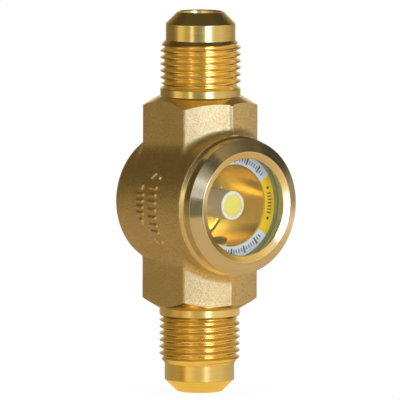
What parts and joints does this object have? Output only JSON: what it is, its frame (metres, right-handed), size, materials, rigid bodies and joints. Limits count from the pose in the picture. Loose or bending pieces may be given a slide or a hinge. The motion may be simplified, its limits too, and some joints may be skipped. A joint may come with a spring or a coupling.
{
  "type": "sight glass",
  "caption": "Inline refrigerant sight glass: forged brass body with male flare ends, a round window in a bezel ring, and a moisture indicator behind the glass.",
  "frame": {"origin": "centre of the overall box; the pipe axis runs vertically 2.15 mm behind it and the window's axis runs through it along Y", "axes": "+Z along the pipe axis, to the upper flare end; the window faces -Y; +X to the right of someone who faces the window"},
  "size_m": [0.0336, 0.0318, 0.0902],
  "materials": {
    "forged_brass": "shot-blasted forging, fine even grain",
    "turned_brass": "turned, bright, with fine tool lines",
    "clear_glass": "polished",
    "washer_polymer": "plain",
    "seal_rubber": "matt",
    "printed_scale": "white, with printed colour segments and marks",
    "post_polymer": "moulded white, satin",
    "indicator_paper": "absorbent paper, matt"
  },
  "bodies": {
    "root": {"body": "forged_brass", "bezel_ring": "turned_brass", "slip_washer": "washer_polymer", "sight_window": "clear_glass", "window_seal": "seal_rubber", "scale_ring": "printed_scale", "indicator_post": "post_polymer", "moisture_paper": "indicator_paper"}
  },
  "joints": []
}
